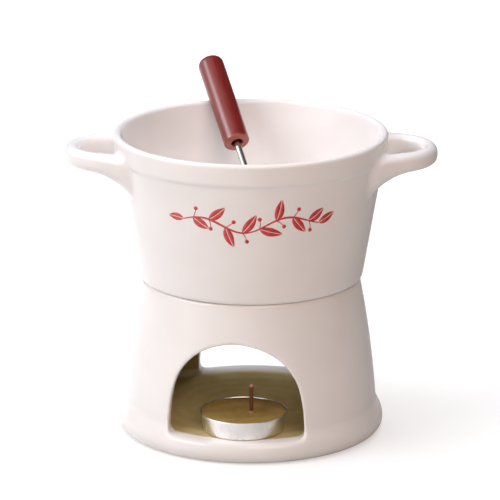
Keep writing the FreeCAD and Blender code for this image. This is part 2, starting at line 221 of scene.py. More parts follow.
def link(name, mesh):
    """A new object of the scene that shows this mesh, smoothly shaded."""
    for face in mesh.polygons:
        face.use_smooth = True
    piece = bpy.data.objects.new(name, mesh)
    bpy.context.scene.collection.objects.link(piece)
    return piece


def finish_mesh(name, bm):
    """Turn a bmesh with closed, outward faces into an object."""
    bmesh.ops.remove_doubles(bm, verts=bm.verts, dist=WELD)
    bmesh.ops.recalc_face_normals(bm, faces=bm.faces)
    mesh = bpy.data.meshes.new(name)
    bm.to_mesh(mesh)
    bm.free()
    return link(name, mesh)


def turned(name, outline, steps=TURN_STEPS):
    """Turn an outline, (radius, height) in millimetres, once round the vertical axis."""
    bm = bmesh.new()
    column = [bm.verts.new((point[0] * MM, 0, point[1] * MM)) for point in outline]
    edges = [bm.edges.new(pair) for pair in zip(column, column[1:])]
    bmesh.ops.spin(bm, geom=column + edges, cent=(0, 0, 0), axis=(0, 0, 1), angle=2 * math.pi,
                   steps=steps, use_merge=True)
    return finish_mesh(name, bm)


print("a full turn has", TURN_STEPS, "steps of", round(360 / TURN_STEPS, 2), "degrees")

# %% [markdown]
# ## Joining and rubbing clay
# Clay parts are stuck together with slip and the seams are wiped with a wet sponge, which leaves
# no sharp edge anywhere. Bevels could round the edges, but not where a handle runs into a wall at
# a changing angle. A voxel remesh melts overlapping forms into one even skin, and a Smooth
# modifier with a weight for each point then rubs only the places that the sponge would reach.

# %% Clay tools
RUB_STRENGTH = 0.5
RUB_LEVELS = 10
SPONGE_ROUNDS = 6


def settle(piece):
    """Replace a piece's mesh by what its modifiers make of it, and drop the modifiers."""
    graph = bpy.context.evaluated_depsgraph_get()
    mesh = bpy.data.meshes.new_from_object(piece.evaluated_get(graph))
    piece.modifiers.clear()
    piece.data = mesh
    return piece


def points_of(piece):
    """The piece's vertices as an array of x, y, z rows in millimetres."""
    flat = np.empty(len(piece.data.vertices) * 3, np.float64)
    piece.data.vertices.foreach_get("co", flat)
    return flat.reshape(-1, 3) / MM


def one_clay_body(piece, voxel):
    """Melt overlapping closed forms into one even skin, as clay parts are joined with slip."""
    joined = piece.modifiers.new("joined", "REMESH")
    joined.mode = "VOXEL"
    joined.voxel_size = voxel * MM
    joined.use_smooth_shade = True
    settle(piece)
    sponged = piece.modifiers.new("sponged", "SMOOTH")
    sponged.factor = RUB_STRENGTH
    sponged.iterations = SPONGE_ROUNDS
    return settle(piece)


def soften(piece, weights, rounds):
    """Rub the clay soft where the weights are high, more with every round."""
    group = piece.vertex_groups.new(name="rubbed")
    levels = np.clip(np.round(np.asarray(weights) * RUB_LEVELS), 0, RUB_LEVELS).astype(int)
    for level in range(1, RUB_LEVELS + 1):
        chosen = np.flatnonzero(levels == level).tolist()
        if chosen:
            group.add(chosen, level / RUB_LEVELS, "REPLACE")
    rubbed = piece.modifiers.new("rubbed", "SMOOTH")
    rubbed.factor = RUB_STRENGTH
    rubbed.iterations = rounds
    rubbed.vertex_group = "rubbed"
    settle(piece)
    piece.vertex_groups.clear()
    return piece


def report(piece, node):
    """Print how far a piece's box lies from the box of the construction piece."""
    low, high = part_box(node)
    points = points_of(piece)
    matrix = np.array(piece.matrix_world)
    world = points @ matrix[:3, :3].T + matrix[:3, 3] / MM
    off = np.concatenate([world.min(0) - np.array(low) / MM, world.max(0) - np.array(high) / MM])
    print(piece.name, len(points), "points, box off by", np.round(off, 2))


print("rubbing has", RUB_LEVELS, "levels, and fresh joints get", SPONGE_ROUNDS, "rounds")

# %% [markdown]
# ## The stand
# The stand is slip-cast in one piece: a foot like a saucer that is hollow underneath, a floor for
# the tealight and a wall that leans in to carry the pot. It could be built from a cylinder with
# loop cuts, but its section is what a mould maker would draw, so the section is turned.

# %% Body of the stand
STAND_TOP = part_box("stand")[1].z / MM
FOOT_RADIUS = 58.5
HOLLOW_RADIUS = 46.4
HOLLOW_HEIGHT = 4.0
FLOOR = 9.4
INNER_TOP_RADIUS = 42.4
INNER_LOW_RADIUS = 49.9
OUTER_TOP_RADIUS = 47.9
NECK = (55.4, 13.5)
WALL_BOW = 428
EDGE_ROUND = 1.2

stand_outline = rounded_outline(
    [(0, HOLLOW_HEIGHT, 0), (HOLLOW_RADIUS, HOLLOW_HEIGHT, 1.0), (HOLLOW_RADIUS, 0, 1.0),
     (FOOT_RADIUS, 0, 4.6), (FOOT_RADIUS, 6.8, 9.8), (57.6, 8.8, 0), (*NECK, 4.0)]
    + bow(NECK, (OUTER_TOP_RADIUS, STAND_TOP), WALL_BOW)[1:]
    + [(OUTER_TOP_RADIUS, STAND_TOP, EDGE_ROUND), (INNER_TOP_RADIUS, STAND_TOP, EDGE_ROUND),
       (INNER_LOW_RADIUS, FLOOR, 3.0), (0, FLOOR, 0)])
stand = turned("stand_glazed", stand_outline)
print("stand", round(STAND_TOP, 1), "mm high, outline of", len(stand_outline), "points")

# %% [markdown]
# ## The arches
# Two opposite arches let air in and the tealight through. On the real piece they are cut while
# the clay is leather-hard. The arch has wide side arcs, a round crown and small corners at the
# sill. One bar with that section, taken away with a boolean, cuts both arches in line.

# %% Arch outline and cutter
ARCH_HALF_WIDTH = 29.6
ARCH_HEIGHT = 42.4
ARCH_SIDE_RADIUS = 80.0
ARCH_CORNER = 2.4
ARCH_TURN = math.radians(-8.0)
CUTTER_REACH = 70


def arch_outline(steps=24):
    """The arch as (across, up) points: two wide side arcs, a crown arc and two small corners."""
    reach = ARCH_SIDE_RADIUS - ARCH_HALF_WIDTH
    rise = ARCH_HEIGHT - ARCH_CORNER
    crown = (ARCH_SIDE_RADIUS ** 2 - reach ** 2 - rise ** 2) / (2 * (ARCH_SIDE_RADIUS - rise))
    drop = rise - crown
    spring = FLOOR + ARCH_CORNER
    side_turn = math.atan2(drop, reach)
    corner = [(ARCH_HALF_WIDTH - ARCH_CORNER + ARCH_CORNER * math.cos(turn),
               spring + ARCH_CORNER * math.sin(turn))
              for turn in np.linspace(-math.pi / 2, 0, 6)]
    side = [(ARCH_SIDE_RADIUS * math.cos(turn) - reach, spring + ARCH_SIDE_RADIUS * math.sin(turn))
            for turn in np.linspace(0, side_turn, steps)[1:]]
    top = [(crown * math.cos(turn), spring + drop + crown * math.sin(turn))
           for turn in np.linspace(side_turn, math.pi / 2, 2 * steps)[1:]]
    right = corner + side + top
    return right + [(-across, up) for across, up in reversed(right[:-1])]


def arch_cutter():
    """A long bar with the arch as its section, which cuts the front and the back at once."""
    bm = bmesh.new()
    section = [bm.verts.new((across * MM, -CUTTER_REACH * MM, up * MM))
               for across, up in arch_outline()]
    face = bm.faces.new(section)
    swept = bmesh.ops.extrude_face_region(bm, geom=[face])
    moved = [item for item in swept["geom"] if isinstance(item, bmesh.types.BMVert)]
    bmesh.ops.translate(bm, verts=moved, vec=(0, 2 * CUTTER_REACH * MM, 0))
    bmesh.ops.rotate(bm, verts=bm.verts, cent=(0, 0, 0), matrix=Matrix.Rotation(ARCH_TURN, 3, "Z"))
    return finish_mesh("arch_cutter", bm)


cutter = arch_cutter()
cut = stand.modifiers.new("arches", "BOOLEAN")
cut.object = cutter
cut.operation = "DIFFERENCE"
cut.solver = "EXACT"
settle(stand)
bpy.data.objects.remove(cutter)
print("stand with arches:", len(stand.data.polygons), "faces")

# %% [markdown]
# ## Rubbed edges of the arches
# A wet finger rounds the cut edges before glazing, and glaze gathers on them as a bright line. A
# Bevel modifier could follow the cut, but the boolean leaves uneven faces there. After an even
# remesh, the distance from the arch's outline says how strongly each point is rubbed.

# %% Rubbed arches
CLAY_VOXEL = 0.6
CUT_RUBBING = 30


def arch_distance(points):
    """How far each point lies from the arches' outline, seen from the front, in millimetres."""
    across = points[:, 0] * math.cos(ARCH_TURN) + points[:, 1] * math.sin(ARCH_TURN)
    outline = np.array(arch_outline(60))
    start, run = outline, np.roll(outline, -1, axis=0) - outline
    nearest = np.full(len(points), 1e9)
    for (x, z), (dx, dz) in zip(start, run):
        share = np.clip(((across - x) * dx + (points[:, 2] - z) * dz) / (dx * dx + dz * dz), 0, 1)
        gap = np.hypot(across - x - share * dx, points[:, 2] - z - share * dz)
        nearest = np.minimum(nearest, gap)
    return nearest


one_clay_body(stand, CLAY_VOXEL)
cut_edge = arch_distance(points_of(stand))
in_wall = np.hypot(*points_of(stand)[:, :2].T) > INNER_TOP_RADIUS - 2
# Fully rubbed up to 1.2 mm from the cut, and not at all beyond 3.2 mm.
soften(stand, np.clip(1.6 - cut_edge / 2.0, 0, 1) * in_wall, CUT_RUBBING)
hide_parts("stand")
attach(stand, "stand")
report(stand, "stand")

# %% [markdown]
# ## The pot
# The pot is cast too. Its wall is a plain cone with a slightly raised band under the rim, and a
# ring under its floor keeps it in place on the stand. All of that is round, so it is turned from
# one outline like the stand, from the ring over the base and the rim to the floor inside.

# %% Body of the pot
POT_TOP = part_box("pot")[1].z / MM
POT_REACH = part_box("pot")[1].x / MM
SEAT = STAND_TOP
RING_INNER = 37.4
RING_OUTER = 41.4
RING_LOW = SEAT - 2.5
RING_ROUND = 0.6
UNDERSIDE = SEAT + 0.8
BASE_RADIUS = 49.0
RIM_RADIUS = 60.2
RIM_BORE = 57.0
RIM_ROUND = 1.55
BAND_LOW = POT_TOP - 10.4
BAND_NECK = 58.29
POT_FLOOR = SEAT + 5.0
POT_FLOOR_RADIUS = 44.8

pot_outline = rounded_outline([
    (0, UNDERSIDE, 0), (RING_INNER, UNDERSIDE, 0), (RING_INNER, RING_LOW, RING_ROUND),
    (RING_OUTER, RING_LOW, RING_ROUND), (RING_OUTER, SEAT, 0), (BASE_RADIUS, SEAT, 2.5),
    (BAND_NECK, BAND_LOW, 0), (59.2, BAND_LOW + 0.5, 0.4), (59.5, BAND_LOW + 1.6, 1.0),
    (RIM_RADIUS, POT_TOP, RIM_ROUND), (RIM_BORE, POT_TOP, RIM_ROUND),
    (POT_FLOOR_RADIUS, POT_FLOOR, 8.0), (0, POT_FLOOR, 0)])
pot = turned("pot_glazed", pot_outline)
print("pot", round(POT_TOP - SEAT, 1), "mm high, outline of", len(pot_outline), "points")

# %% [markdown]
# ## The handles
# Each handle is a bar of clay bent to a half circle and stuck on with slip. Towards its roots the
# bar grows downwards and sideways, as clay does when it is pressed on. A curve with a bevel would
# keep the bar equally thick, so the section is swept by hand: every station of the loop says how
# much the bar flares there, and the ends are sunk into the wall.

# %% Sections and stations of a handle
WALL_TOP_RADIUS = 60.05
HANDLE_WIDTH = 7.0
HANDLE_THICKNESS = 8.4
HANDLE_ROUND = 3.3
HANDLE_HALF = 22.0
HANDLE_MIDDLE = POT_TOP - 9.9
HANDLE_START = 56.8
ROOT_START = 72.0
ROOT_FLARE = 3.2


def handle_section(steps=5):
    """The bar's section as (out, up) points: a block with well rounded edges."""
    points = []
    for quarter in range(4):
        out = (HANDLE_WIDTH / 2 - HANDLE_ROUND) * (1 if quarter in (0, 3) else -1)
        up = (HANDLE_THICKNESS / 2 - HANDLE_ROUND) * (1 if quarter in (0, 1) else -1)
        for turn in np.linspace(0, math.pi / 2, steps + 1):
            angle = quarter * math.pi / 2 + turn
            points.append((out + HANDLE_ROUND * math.cos(angle), up + HANDLE_ROUND * math.sin(angle)))
    return points


def wall_radius(height):
    """Radius of the pot's outer wall at a height, in millimetres, without the band."""
    return BASE_RADIUS + (WALL_TOP_RADIUS - BASE_RADIUS) * (height - SEAT) / (POT_TOP - SEAT)


def handle_path(side, steps=44):
    """Stations of the loop, each a place, the direction out of the loop and the root's flare."""
    bar = HANDLE_HALF - HANDLE_WIDTH / 2
    centre = POT_REACH - HANDLE_HALF
    arc = [(centre + bar * math.cos(turn), bar * math.sin(turn), math.cos(turn), math.sin(turn))
           for turn in np.linspace(-math.pi / 2, math.pi / 2, steps)]
    run = [(x, bar, 0, 1) for x in np.linspace(centre, HANDLE_START, 6)[1:]]
    stations = [(x, -y, out_x, -out_y) for x, y, out_x, out_y in reversed(run)] + arc + run
    path = []
    for x, y, out_x, out_y in stations:
        near_wall = min(max((ROOT_START - x) / (ROOT_START - HANDLE_START), 0), 1)
        path.append((side * x, y, side * out_x, out_y, near_wall ** ROOT_FLARE))
    return path


print("a handle has", len(handle_path(1)), "stations of", len(handle_section()), "points")

# %% [markdown]
# ## Pressing the handles on
# At its roots the bar is drawn down and back into the wall. Handles as separate objects could
# simply be pushed in, but a crease would stay all round. Here they join the pot's own mesh, and
# the remesh melts all three forms into one body.

# %% Both handles on the wall
ROOT_DROP = 3.2
ROOT_SPREAD = 1.2
ROOT_SINK = 1.7


def add_handle(bm, side):
    """Sweep the bar's section along the loop, widen it to the roots and end it inside the wall."""
    rings = []
    path = handle_path(side)
    for number, (x, y, out_x, out_y, flare) in enumerate(path):
        ring = []
        for out, up in handle_section():
            sunk = 1 if number in (0, len(path) - 1) else flare * max(-2 * up / HANDLE_THICKNESS, 0)
            out += max(out, 0) * ROOT_SPREAD * flare
            up += min(up, 0) * ROOT_DROP * flare
            spot = Vector((x + out * out_x, y + out * out_y, HANDLE_MIDDLE + up))
            wall_x = side * math.sqrt((wall_radius(spot.z) - ROOT_SINK) ** 2 - spot.y ** 2)
            spot.x += (wall_x - spot.x) * sunk
            ring.append(bm.verts.new(spot * MM))
        rings.append(ring)
    for ring, following in zip(rings, rings[1:]):
        for number, vertex in enumerate(ring):
            after = (number + 1) % len(ring)
            bm.faces.new((vertex, ring[after], following[after], following[number]))
    bm.faces.new(rings[0])
    bm.faces.new(rings[-1])


clay = bmesh.new()
clay.from_mesh(pot.data)
for side in (-1, 1):
    add_handle(clay, side)
bmesh.ops.recalc_face_normals(clay, faces=clay.faces)
clay.to_mesh(pot.data)
clay.free()
one_clay_body(pot, CLAY_VOXEL)
print("pot with handles:", len(pot.data.polygons), "faces")

# %% [markdown]
# ## Rubbed roots of the handles
# The potter wipes the seam until handle and wall flow into each other. The flared bars already
# come close to that. Many rounds of smoothing, weighted by how near a point is to a root, do the
# rest, and leave the rim and the loops as they are.

# %% Rubbed roots
ROOT_RUBBING = 100
ROOT_MIDDLE = 6


def root_weights(points):
    """High where the handles grow out of the wall, and nothing elsewhere."""
    x, y, z = points.T
    off_wall = np.hypot(x, y) - wall_radius(z)
    beside = np.abs(np.abs(y) - (HANDLE_HALF - HANDLE_WIDTH / 2))
    near = np.clip(1.5 - np.abs(off_wall - 1.0) / 3.0, 0, 1)
    across = np.clip(2.2 - beside / 5.0, 0, 1)
    upright = np.clip(2.4 - np.abs(z - HANDLE_MIDDLE + ROOT_MIDDLE) / 6.5, 0, 1)
    return near * (across * upright) * (np.abs(x) > 40) * (off_wall > -2.0)


soften(pot, root_weights(points_of(pot)), ROOT_RUBBING)
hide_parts("pot")
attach(pot, "pot")
report(pot, "pot")

# %% [markdown]
# ## The tealight's cup
# The cup is pressed from thin aluminium foil. The press leaves faint upright wrinkles in the wall
# and rolls the edge over. A bump pattern could fake the wrinkles, but then the cup's bright edges
# would stay perfect rings, so the turned wall itself is moved in and out by a few hundredths of a
# millimetre.

# %% Tealight cup
CUP_FOIL = 0.25
CUP_BASE = 17.5
CUP_RECESS = 0.5
CUP_LIP = 19.2
CUP_HEIGHT = 8.5
LIP_ROUND = 0.25
WRINKLES = 52
WRINKLE_DEPTH = 0.02
WRINKLE_MIDDLE = 3.6

cup_low, cup_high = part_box("tealight_cup")
cup_place = Vector(((cup_low.x + cup_high.x) / 2, (cup_low.y + cup_high.y) / 2, cup_low.z))
cup_outline = rounded_outline([
    (0, CUP_RECESS, 0), (14.5, CUP_RECESS, 0.5), (15.2, 0, 0.5), (CUP_BASE, 0, 0.9),
    (18.55, 7.75, LIP_ROUND), (CUP_LIP, 7.85, LIP_ROUND), (CUP_LIP, CUP_HEIGHT, LIP_ROUND),
    (18.75, CUP_HEIGHT, 0.2), (18.4, 7.9, 0), (CUP_BASE - 0.15, CUP_FOIL, 0.9), (15.0, CUP_FOIL, 0.5),
    (14.3, CUP_RECESS + CUP_FOIL, 0.5), (0, CUP_RECESS + CUP_FOIL, 0)])
cup = turned("tealight_foil_cup", cup_outline, 416)
for vertex in cup.data.vertices:
    angle = math.atan2(vertex.co.y, vertex.co.x)
    reach = math.hypot(vertex.co.x, vertex.co.y) / MM
    height = vertex.co.z / MM
    fade = max(0.0, 1 - abs(height - WRINKLE_MIDDLE) / WRINKLE_MIDDLE) * (reach > 16)
    uneven = 0.6 + 0.4 * math.sin(3 * angle + 1) * math.sin(7 * angle)
    shift = 1 + WRINKLE_DEPTH * fade * uneven * (math.sin(WRINKLES * angle) - 1) / max(reach, 1)
    vertex.co.x *= shift
    vertex.co.y *= shift
cup.location = cup_place
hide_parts("tealight_cup")
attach(cup, "tealight")
report(cup, "tealight_cup")

# %% [markdown]
# ## The wax
# Liquid paraffin creeps up the foil and up the wick where it sets last, and dips a little in
# between. A flat disc with a bump would miss those two raised edges, which catch the light. So
# the surface is a height formula, laid on rings that start round the wick and widen to the cup.

# %% Height of the wax
WAX_TOP = 7.8
WAX_RADIUS = 18.2
WAX_CREEP = 0.75
WAX_DIP = 0.35
WAX_COLLAR = 1.05
wick_low, wick_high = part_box("tealight_wick")
wick_place = Vector(((wick_low.x + wick_high.x) / 2, (wick_low.y + wick_high.y) / 2, cup_low.z))
WICK_OFFSET = (wick_place.x - cup_place.x) / MM


def wax_height(x, y):
    """Height of the wax surface over the cup's place: it creeps up the foil and the wick."""
    rim = WAX_RADIUS - math.hypot(x, y)
    wick = math.hypot(x - WICK_OFFSET, y)
    dip = WAX_DIP * math.exp(-(wick / 7) ** 2)
    collar = WAX_COLLAR * math.exp(-(max(wick - 0.9, 0) / 0.62) ** 1.6)
    ripple = 0.05 * math.sin(0.45 * x + 1.3) * math.cos(0.38 * y + 0.4)
    return WAX_TOP - 0.30 + WAX_CREEP * math.exp(-rim / 0.8) - dip + collar + ripple


print("wax stands", round(wax_height(0, WAX_RADIUS), 2), "mm high at the foil,",
      round(wax_height(0, 9), 2), "mm halfway")

# %% [markdown]
# ## Casting the wax
# An even grid would need very many points for the small collar at the wick. Rings can lie close
# together there and far apart elsewhere. Two more rings under the rim close the wax like a
# casting, so that nothing shows through between wax and foil.

# %% Rings of wax
WAX_REACH = 15.0
WAX_SIDES = 180


def cast_wax():
    """The wax as rings round the wick that widen to the wall of the cup, closed underneath."""
    bm = bmesh.new()
    reaches = [0.85, 1.0, 1.2, 1.45, 1.8, 2.3, 3.0, 4.0, 5.2, 6.6, 8.2, 10.0, 11.8, 13.4, WAX_REACH]
    turns = [2 * math.pi * step / WAX_SIDES for step in range(WAX_SIDES)]
    rings = []
    for share in [reach / WAX_REACH for reach in reaches]:
        ring = []
        for turn in turns:
            small = Vector((WICK_OFFSET + WAX_REACH * share * math.cos(turn),
                            WAX_REACH * share * math.sin(turn)))
            wide = Vector((math.cos(turn), math.sin(turn))) * WAX_RADIUS
            place = small.lerp(wide, share ** 3)
            ring.append(bm.verts.new((place.x * MM, place.y * MM, wax_height(*place) * MM)))
        rings.append(ring)
    for radius, height in ((WAX_RADIUS - 0.75, 2.2), (16.2, 0.9)):
        rings.append([bm.verts.new((radius * MM * math.cos(turn), radius * MM * math.sin(turn),
                                    height * MM))
                      for turn in turns])
    for ring, following in zip(rings, rings[1:]):
        for step in range(WAX_SIDES):
            after = (step + 1) % WAX_SIDES
            bm.faces.new((ring[step], ring[after], following[after], following[step]))
    bm.faces.new(rings[0])
    bm.faces.new(rings[-1])
    return finish_mesh("tealight_paraffin", bm)


wax = cast_wax()
wax.location = cup_place
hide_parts("tealight_wax")
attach(wax, "tealight")
report(wax, "tealight_wax")

# %% [markdown]
# ## The wick
# The wick is a thin braid of cotton, stiff with wax. A true braid would need many crossing
# threads that nobody sees at this size. Three strands twisted round each other read the same:
# each is a tube that follows a helix and thins towards the cut tip.

# %% Tubes
TUBE_SIDES = 12


def tube(bm, path, radii, sides=TUBE_SIDES):
    """Add a closed tube along a path of points in millimetres, with one radius for each point."""
    rings = []
    for number, place in enumerate(path):
        before = path[max(number - 1, 0)]
        after = path[min(number + 1, len(path) - 1)]
        along = (after - before).normalized()
        if rings:
            side = (side - along * side.dot(along)).normalized()
        else:
            side = along.orthogonal().normalized()
        up = along.cross(side)
        ring = []
        for turn in np.linspace(0, 2 * math.pi, sides, endpoint=False):
            ray = side * math.cos(turn) + up * math.sin(turn)
            ring.append(bm.verts.new((place + ray * radii[number]) * MM))
        rings.append(ring)
    for ring, following in zip(rings, rings[1:]):
        for number in range(sides):
            after = (number + 1) % sides
            bm.faces.new((ring[number], ring[after], following[after], following[number]))
    bm.faces.new(rings[0])
    bm.faces.new(rings[-1])


print("a strand has", TUBE_SIDES, "sides")

# %% [markdown]
# ## Twisting the strands
# The wick is cut after it is waxed, which pinches the tip. The helix keeps one pitch all the way,
# and in the last millimetre the strands close up and thin together.

# %% Wick
WICK_RADIUS = (wick_high.x - wick_low.x) / 2 / MM
WICK_TOP = (wick_high.z - wick_low.z) / MM
STRANDS = 3
STRAND_RADIUS = 0.5
TWIST_PITCH = 4.2
TIP_LENGTH = 1.2


def braided_wick():
    """Twisted strands from the foot of the wick to its tip."""
    bm = bmesh.new()
    for strand in range(STRANDS):
        path, radii = [], []
        for height in np.linspace(0.3, WICK_TOP - 0.1, 90):
            turn = 2 * math.pi * (height / TWIST_PITCH + strand / STRANDS)
            near_tip = max(0.0, height - WICK_TOP + TIP_LENGTH) / TIP_LENGTH
            spread = (WICK_RADIUS - STRAND_RADIUS - 0.02) * (1 - 0.35 * near_tip)
            path.append(Vector((spread * math.cos(turn), spread * math.sin(turn), height)))
            radii.append(STRAND_RADIUS * (1 - 0.45 * near_tip ** 2))
        tube(bm, path, radii)
    return finish_mesh("tealight_braided_wick", bm)


wick = braided_wick()
wick.location = Vector((wick_place.x, wick_place.y, wick_low.z))
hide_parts("tealight_wick")
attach(wick, "tealight")
report(wick, "tealight_wick")

# %% [markdown]
# ## Where the fork leans
# The fork stands in the pot and leans over the back of its rim, so its parts are easier to make
# upright and to lay in place afterwards. The place could be typed in as angles. It comes from the
# construction model instead: the joint that draws the fork out gives its direction, and the ring
# at the grip's lower end gives a point on its axis.

# %% Fork axis
draw = next(joint for joint in frame["joints"] if joint["name"] == "fork_draw")
fork_axis = Vector(draw["axis"]).normalized()
grip_points = points_of(frame["nodes"]["fork_handle"])
grip_along = grip_points @ np.array(fork_axis)
fork_mouth = Vector(grip_points[grip_along < grip_along.min() + 0.02].mean(0)) * MM
GRIP_LENGTH = grip_along.max() - grip_along.min()
fork_side = fork_axis.cross(Vector((0, 0, 1))).normalized()
fork_turn = Matrix((fork_side, fork_axis.cross(fork_side), fork_axis)).transposed()
fork_frame = Matrix.LocRotScale(fork_mouth, fork_turn, None)
print("fork mouth", [round(value / MM, 2) for value in fork_mouth], "grip length", round(GRIP_LENGTH, 2))

# %% [markdown]
# ## The grip
# The grip is turned from beech, with a hollow at its mouth where the rod is glued in. It is the
# same kind of outline as before, bored in the middle. Wood grain runs along the fork, not along
# the room's axes, so each point first stores where it lies on the upright fork for the shader.

# %% Fork grip
GRIP_RADIUS = 5.75
GRIP_MOUTH = 2.6
MOUTH_DEPTH = 5.0
ROD_RADIUS = 1.5
BORE_RADIUS = ROD_RADIUS + 0.02
ROD_INSERT = 28.0

grip_outline = rounded_outline([
    (0, ROD_INSERT, 0), (BORE_RADIUS, ROD_INSERT, 0), (BORE_RADIUS, MOUTH_DEPTH, 0.3),
    (GRIP_MOUTH, MOUTH_DEPTH, 0.3), (GRIP_MOUTH, 0, 0.35), (GRIP_RADIUS, 0, 0.8),
    (GRIP_RADIUS, GRIP_LENGTH, 3.0), (0, GRIP_LENGTH, 0)])


def lay_along_fork(piece):
    """Store each point's place on the upright fork, then move the mesh to where the fork leans."""
    flat = (points_of(piece) * MM).ravel().astype(np.float32)
    piece.data.attributes.new("place_on_fork", "FLOAT_VECTOR", "POINT").data.foreach_set("vector", flat)
    piece.data.transform(fork_frame)
    return piece


grip = lay_along_fork(turned("fork_grip", grip_outline, 160))
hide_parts("fork_handle")
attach(grip, "fork")
report(grip, "fork_handle")

# %% [markdown]
# ## The rod and its head
# The rod is round steel wire whose end is pressed flat and cut to two tines. Pressing could be
# imitated by squashing a tube. It is cleaner to draw the flat head as an outline, give it a
# thickness and bevelled edges, and let the round rod taper into it.

# %% Outline of the head
ROD_LENGTH = 52.0
HEAD_LENGTH = 23.5
HEAD_HALF_WIDTH = 4.6
TINE_WIDTH = 2.0
TINE_LENGTH = 15.5
TINE_POINT = 4.0
REACH = ROD_LENGTH + HEAD_LENGTH


def fork_head_outline():
    """The flattened head seen from its flat side: neck, shoulders, two tines and a round slot."""
    slot = HEAD_HALF_WIDTH - TINE_WIDTH
    right = [(1.15, -ROD_LENGTH + 3), (1.9, -ROD_LENGTH - 0.5), (3.6, -ROD_LENGTH - 3.0),
             (4.4, -ROD_LENGTH - 5.2), (HEAD_HALF_WIDTH, -ROD_LENGTH - 8.0),
             (HEAD_HALF_WIDTH, -REACH + TINE_POINT), (slot + TINE_WIDTH / 2 + 0.25, -REACH + 0.2),
             (slot + TINE_WIDTH / 2, -REACH), (slot + TINE_WIDTH / 2 - 0.25, -REACH + 0.2),
             (slot, -REACH + TINE_POINT)]
    right += [(slot * math.cos(turn), -REACH + TINE_LENGTH - slot + slot * math.sin(turn))
              for turn in np.linspace(0, math.pi / 2, 8)]
    return right + [(-across, up) for across, up in reversed(right[:-1])]


print("fork head", HEAD_LENGTH, "mm long, outline of", len(fork_head_outline()), "points")

# %% [markdown]
# ## Rod and head in one
# A boolean could join wire and head, but two closed forms of the same steel that overlap look
# the same and cannot fail. The wire thins in four stations until it vanishes in the flat head.

# %% Rod and head
HEAD_THICKNESS = 1.8
HEAD_BEVEL = 0.4
ROD_STATIONS = 24


def fork_steel():
    """The rod and its flattened head, bevelled along every edge of the head."""
    bm = bmesh.new()
    face = bm.faces.new([bm.verts.new((across * MM, -HEAD_THICKNESS / 2 * MM, up * MM))
                         for across, up in fork_head_outline()])
    swept = bmesh.ops.extrude_face_region(bm, geom=[face])
    moved = [item for item in swept["geom"] if isinstance(item, bmesh.types.BMVert)]
    bmesh.ops.translate(bm, verts=moved, vec=(0, HEAD_THICKNESS * MM, 0))
    flat = [edge for edge in bm.edges if abs(edge.verts[0].co.y - edge.verts[1].co.y) < 1e-7]
    bmesh.ops.bevel(bm, geom=flat, offset=HEAD_BEVEL * MM, segments=3, profile=0.5, affect="EDGES")
    heights = [*np.linspace(ROD_INSERT, -ROD_LENGTH + 4, ROD_STATIONS),
               -ROD_LENGTH + 2, -ROD_LENGTH + 0.5, -ROD_LENGTH - 1.5, -ROD_LENGTH - 3.5]
    radii = [ROD_RADIUS] * ROD_STATIONS + [ROD_RADIUS * share for share in (0.97, 0.9, 0.72, 0.5)]
    tube(bm, [Vector((0, 0, height)) for height in heights], radii, 32)
    return finish_mesh("fork_rod", bm)


rod = lay_along_fork(fork_steel())
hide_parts("fork_shaft")
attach(rod, "fork")
report(rod, "fork_shaft")

# %% [markdown]
# ## Brush strokes for the ornament
# The front of the pot carries a red transfer print: a plain sprig with leaves and berries, drawn
# like strokes of a pointed brush. An image on the wall would do it, but would turn coarse close
# up. Here each stroke is a ribbon of mesh whose width swells and thins, drawn flat as across and
# up, and rolled onto the wall's cone.

# %% Strokes on the wall
SPRIG_HEIGHT = 107.0


def on_wall(across, up):
    """The point of the pot's front that lies this far across and up, in millimetres."""
    height = SPRIG_HEIGHT + up
    radius = wall_radius(height) + 0.1
    turn = across / radius
    return Vector((radius * math.sin(turn), -radius * math.cos(turn), height)) * MM


def stroke(bm, points, widths):
    """A ribbon along (across, up) points with a width at each point."""
    rails = []
    for number, (here, width) in enumerate(zip(points, widths)):
        before = Vector(points[max(number - 1, 0)])
        after = Vector(points[min(number + 1, len(points) - 1)])
        along = (after - before).normalized()
        beside = Vector((-along.y, along.x)) * width / 2
        row = [Vector(here) + beside * share for share in (-1, 0, 1)]
        rails.append([bm.verts.new(on_wall(*place)) for place in row])
    for row, following in zip(rails, rails[1:]):
        for number in (0, 1):
            bm.faces.new((row[number], row[number + 1], following[number + 1], following[number]))


def curve_points(ends, bends, steps):
    """Points of a cubic curve between two ends with two bends."""
    start, finish = Vector(ends[0]), Vector(ends[1])
    first, second = Vector(bends[0]), Vector(bends[1])
    points = []
    for share in np.linspace(0, 1, steps):
        rest = 1 - share
        points.append(tuple(rest ** 3 * start + 3 * rest ** 2 * share * first
                            + 3 * rest * share * share * second + share ** 3 * finish))
    return points


print("the sprig lies", round(SPRIG_HEIGHT - SEAT, 1), "mm above the pot's base")

# %% [markdown]
# ## The sprig
# A waving stem carries leaves and berries in turn on both sides. They could all be placed by
# hand, but a plant is a rule: each leaf grows from a share of the stem at a fixed angle, and a
# berry on a stalk leaves the other side. A leaf is two strokes with a light rib between them.

# %% Stem, leaf and berry
SPRIG_WIDTH = 61.0
SPRIG_WAVES = 1.5
SPRIG_SWING = 3.6
HALF_RIB = 0.14


def stem_at(share):
    """A point on the stem, from its left end at 0 to its right end at 1."""
    swing = SPRIG_SWING * math.sin(2 * math.pi * SPRIG_WAVES * share + 0.5)
    return Vector((SPRIG_WIDTH * (share - 0.5), swing * (0.55 + 0.45 * math.sin(math.pi * share))))


